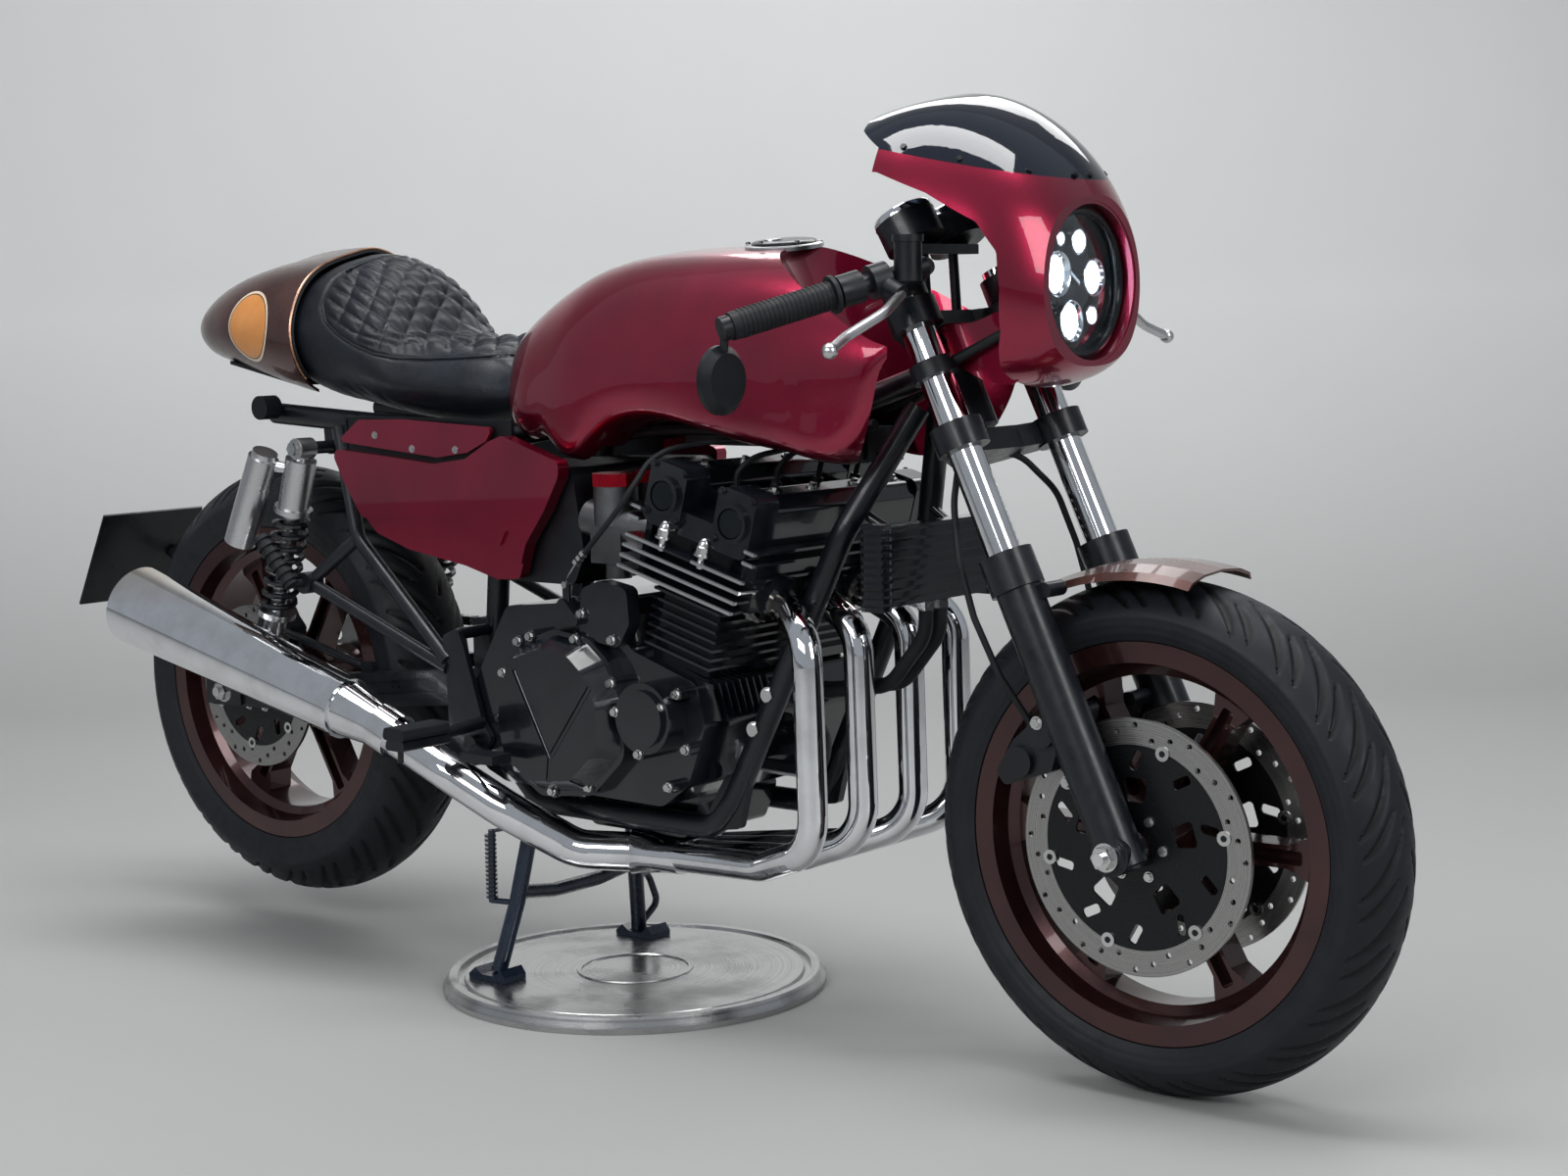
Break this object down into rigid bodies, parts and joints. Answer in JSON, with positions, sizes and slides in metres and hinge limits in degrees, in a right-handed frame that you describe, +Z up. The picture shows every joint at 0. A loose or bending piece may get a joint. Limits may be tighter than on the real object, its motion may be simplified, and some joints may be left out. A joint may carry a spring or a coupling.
{
  "type": "cafe racer motorcycle",
  "caption": "Road motorcycle rebuilt as a cafe racer with bikini fairing, humped seat and tail, transverse engine and long silencer, raised on its centre stand on a round steel plate.",
  "frame": {"origin": "on the floor at the centre of the underside of the round plate", "axes": "+X forward, +Y to the rider's left, +Z up"},
  "size_m": [2.2265, 0.7818, 1.1603],
  "materials": {
    "steel_plate": "turned and scuffed",
    "frame_black": "satin black",
    "engine_black": "gloss black",
    "fin_edge": "polished edges on black",
    "candy_red": "candy metallic with clear coat",
    "brown_metal": "satin metallic",
    "wheel_bronze": "bronze metallic",
    "chrome": "polished",
    "silver": "satin",
    "steel": "ground",
    "cast_grey": "cast",
    "red_anodised": "anodised",
    "tyre": "matt",
    "rubber": "matt",
    "black_plastic": "matt",
    "plate_black": "blank",
    "leather": "quilted",
    "screen": "dark tinted",
    "lens": "lit, cool white",
    "stand_blue": "blue black"
  },
  "bodies": {
    "chassis": {"round_plate": "steel_plate", "frame_spine": "frame_black", "frame_cradle": "frame_black", "subframe_struts": "frame_black", "crankcase": "engine_black", "right_covers": "engine_black", "left_covers": "engine_black", "barrels": "engine_black", "cylinder_head": "fin_edge", "cam_cover": "engine_black", "carburettors": "cast_grey", "carb_tops": "red_anodised", "air_box": "black_plastic", "headers": "chrome", "collector": "chrome", "silencer": "chrome", "oil_cooler": "engine_black", "oil_hoses": "rubber", "fuel_tank": "candy_red", "seat": "leather", "tail_cowl": "brown_metal", "under_tray": "black_plastic", "rear_lamps": "black_plastic", "side_covers": "candy_red", "swingarm": "frame_black", "rear_axle": "chrome", "rear_caliper": "frame_black", "chain": "steel", "shocks": "silver", "shock_springs": "frame_black", "rest_hangers": "frame_black", "footrests": "rubber", "pedals": "frame_black", "number_plate": "plate_black"},
    "steering": {"fork_stanchions": "chrome", "fork_yokes": "frame_black", "fork_lowers": "frame_black", "front_axle": "chrome", "front_calipers": "frame_black", "brake_hoses": "rubber", "front_fender": "brown_metal", "fairing": "candy_red", "windscreen": "screen", "headlight_shell": "black_plastic", "headlight_lens": "lens", "instruments": "frame_black", "clip_on_bars": "black_plastic", "grips": "rubber", "levers": "silver", "mirrors": "black_plastic"},
    "front_wheel": {"front_tyre": "tyre", "front_rim": "wheel_bronze", "front_discs": "steel"},
    "rear_wheel": {"rear_tyre": "tyre", "rear_rim": "wheel_bronze", "rear_disc": "steel", "rear_sprocket": "steel"},
    "centre_stand": {"centre_stand": "stand_blue"},
    "side_stand": {"side_stand": "stand_blue"}
  },
  "joints": [
    {"name": "steering", "type": "hinge", "parent": "chassis", "child": "steering", "pos_m": [0.55453, 0, 0.80512], "axis": [-0.4195, 0, 0.9078], "range_deg": [-35, 35]},
    {"name": "front_wheel_spin", "type": "hinge", "parent": "steering", "child": "front_wheel", "pos_m": [0.8375, 0, 0.3], "axis": [0, 1, 0], "continuous": true},
    {"name": "rear_wheel_spin", "type": "hinge", "parent": "chassis", "child": "rear_wheel", "pos_m": [-0.6575, 0, 0.367], "axis": [0, 1, 0], "continuous": true},
    {"name": "centre_stand_fold", "type": "hinge", "parent": "chassis", "child": "centre_stand", "pos_m": [-0.092, 0, 0.222], "axis": [0, 1, 0], "range_deg": [0, 70]},
    {"name": "side_stand_swing", "type": "hinge", "parent": "chassis", "child": "side_stand", "pos_m": [0.04, 0.138, 0.24], "axis": [0, 1, 0], "range_deg": [-100, 0]}
  ]
}
